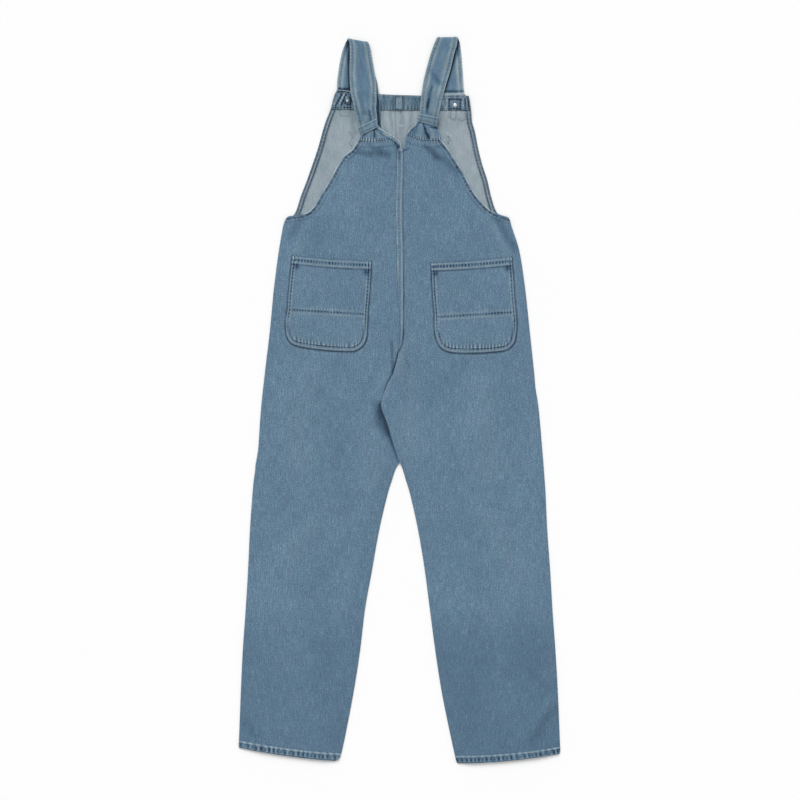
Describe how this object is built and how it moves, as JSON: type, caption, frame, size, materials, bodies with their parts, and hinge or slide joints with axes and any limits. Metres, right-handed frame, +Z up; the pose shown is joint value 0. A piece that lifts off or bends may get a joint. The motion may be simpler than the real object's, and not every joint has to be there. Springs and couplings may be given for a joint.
{
  "type": "denim bib overalls laid flat",
  "caption": "Washed denim bib overalls laid flat with the back side up: straps folded over the inside of the bib, patch back pockets, felled centre seam, turned leg hems.",
  "frame": {"origin": "centre of the bounding box, on the surface that the garment lies on", "axes": "+Y from the leg hems to the strap folds, +X to the right seen from above with the straps up, +Z up off the surface"},
  "size_m": [0.676, 1.5242, 0.0089],
  "materials": {
    "denim": "washed light blue denim, matt",
    "denim_inside": "pale inside of the denim, matt",
    "denim_band": "darker blue denim facing, matt",
    "button_metal": "bright plain metal"
  },
  "bodies": {
    "root": {"back_left": "denim", "back_right": "denim", "front_leg_left": "denim", "front_leg_right": "denim", "back_pocket_left": "denim", "back_pocket_right": "denim", "strap_left": "denim", "strap_right": "denim", "strap_base_left": "denim", "strap_base_right": "denim", "keeper_left": "denim", "keeper_right": "denim", "bib": "denim_inside", "bib_band": "denim_band", "bib_tab": "denim_band", "button_cap_left": "button_metal", "button_cap_right": "button_metal", "button_head_left": "button_metal", "button_head_right": "button_metal"}
  },
  "joints": []
}
